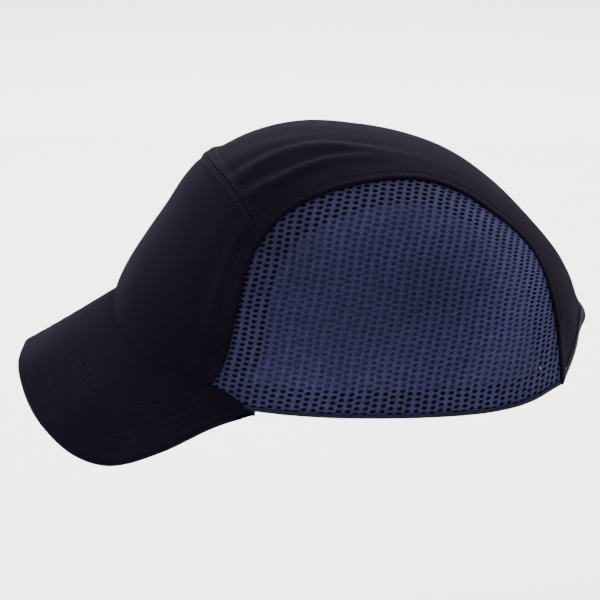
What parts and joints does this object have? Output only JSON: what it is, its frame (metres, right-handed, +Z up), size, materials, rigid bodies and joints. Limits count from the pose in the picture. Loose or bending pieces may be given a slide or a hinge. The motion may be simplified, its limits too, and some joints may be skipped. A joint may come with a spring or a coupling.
{
  "type": "bump cap",
  "caption": "Baseball-style textile cap with mesh sides and a peak over a removable plastic bump shell with foam pads, sweatband and rear hook-and-loop strap.",
  "frame": {"origin": "middle of the head opening, at the height of the side hem", "axes": "+Z up out of the crown, -Y towards the peak, +X to the wearer's left"},
  "size_m": [0.176, 0.2626, 0.1436],
  "materials": {
    "cotton": "matte dark navy cotton twill",
    "mesh": "matte blue knitted polyester mesh",
    "shell": "satin moulded blue plastic",
    "foam": "matte closed-cell foam",
    "terry": "looped towelling",
    "strap": "woven webbing",
    "loop": "brushed loop pile",
    "hook": "moulded hooks",
    "board": "smooth sheet",
    "label": "woven satin",
    "tape": "woven cotton tape"
  },
  "bodies": {
    "cap": {"front_panel": "cotton", "crown_panel": "cotton", "mesh_panel_left": "mesh", "mesh_panel_right": "mesh", "front_seam_tape": "tape", "hem_tape_left": "tape", "hem_tape_right": "tape", "arch_binding": "tape", "care_label": "label", "peak_top_cover": "cotton", "peak_board": "board", "peak_under_cover": "cotton", "strap_base_right": "strap", "loop_strap": "strap", "loop_pad": "loop"},
    "tab": {"hook_tab": "strap", "hook_pad": "hook"},
    "insert": {"shell": "shell", "pad_crown": "foam", "pad_front": "foam", "pad_left": "foam", "pad_right": "foam", "pad_rear": "foam", "sweatband": "terry"}
  },
  "joints": [
    {"name": "insert_pull_out", "type": "slide", "parent": "cap", "child": "insert", "axis": [0, 0, -1], "range_m": [0, 0.16]},
    {"name": "tab_peel", "type": "hinge", "parent": "cap", "child": "tab", "pos_m": [-0.022, 0.0934, 0.01], "axis": [0, 0, 1], "range_deg": [0, 100]}
  ]
}
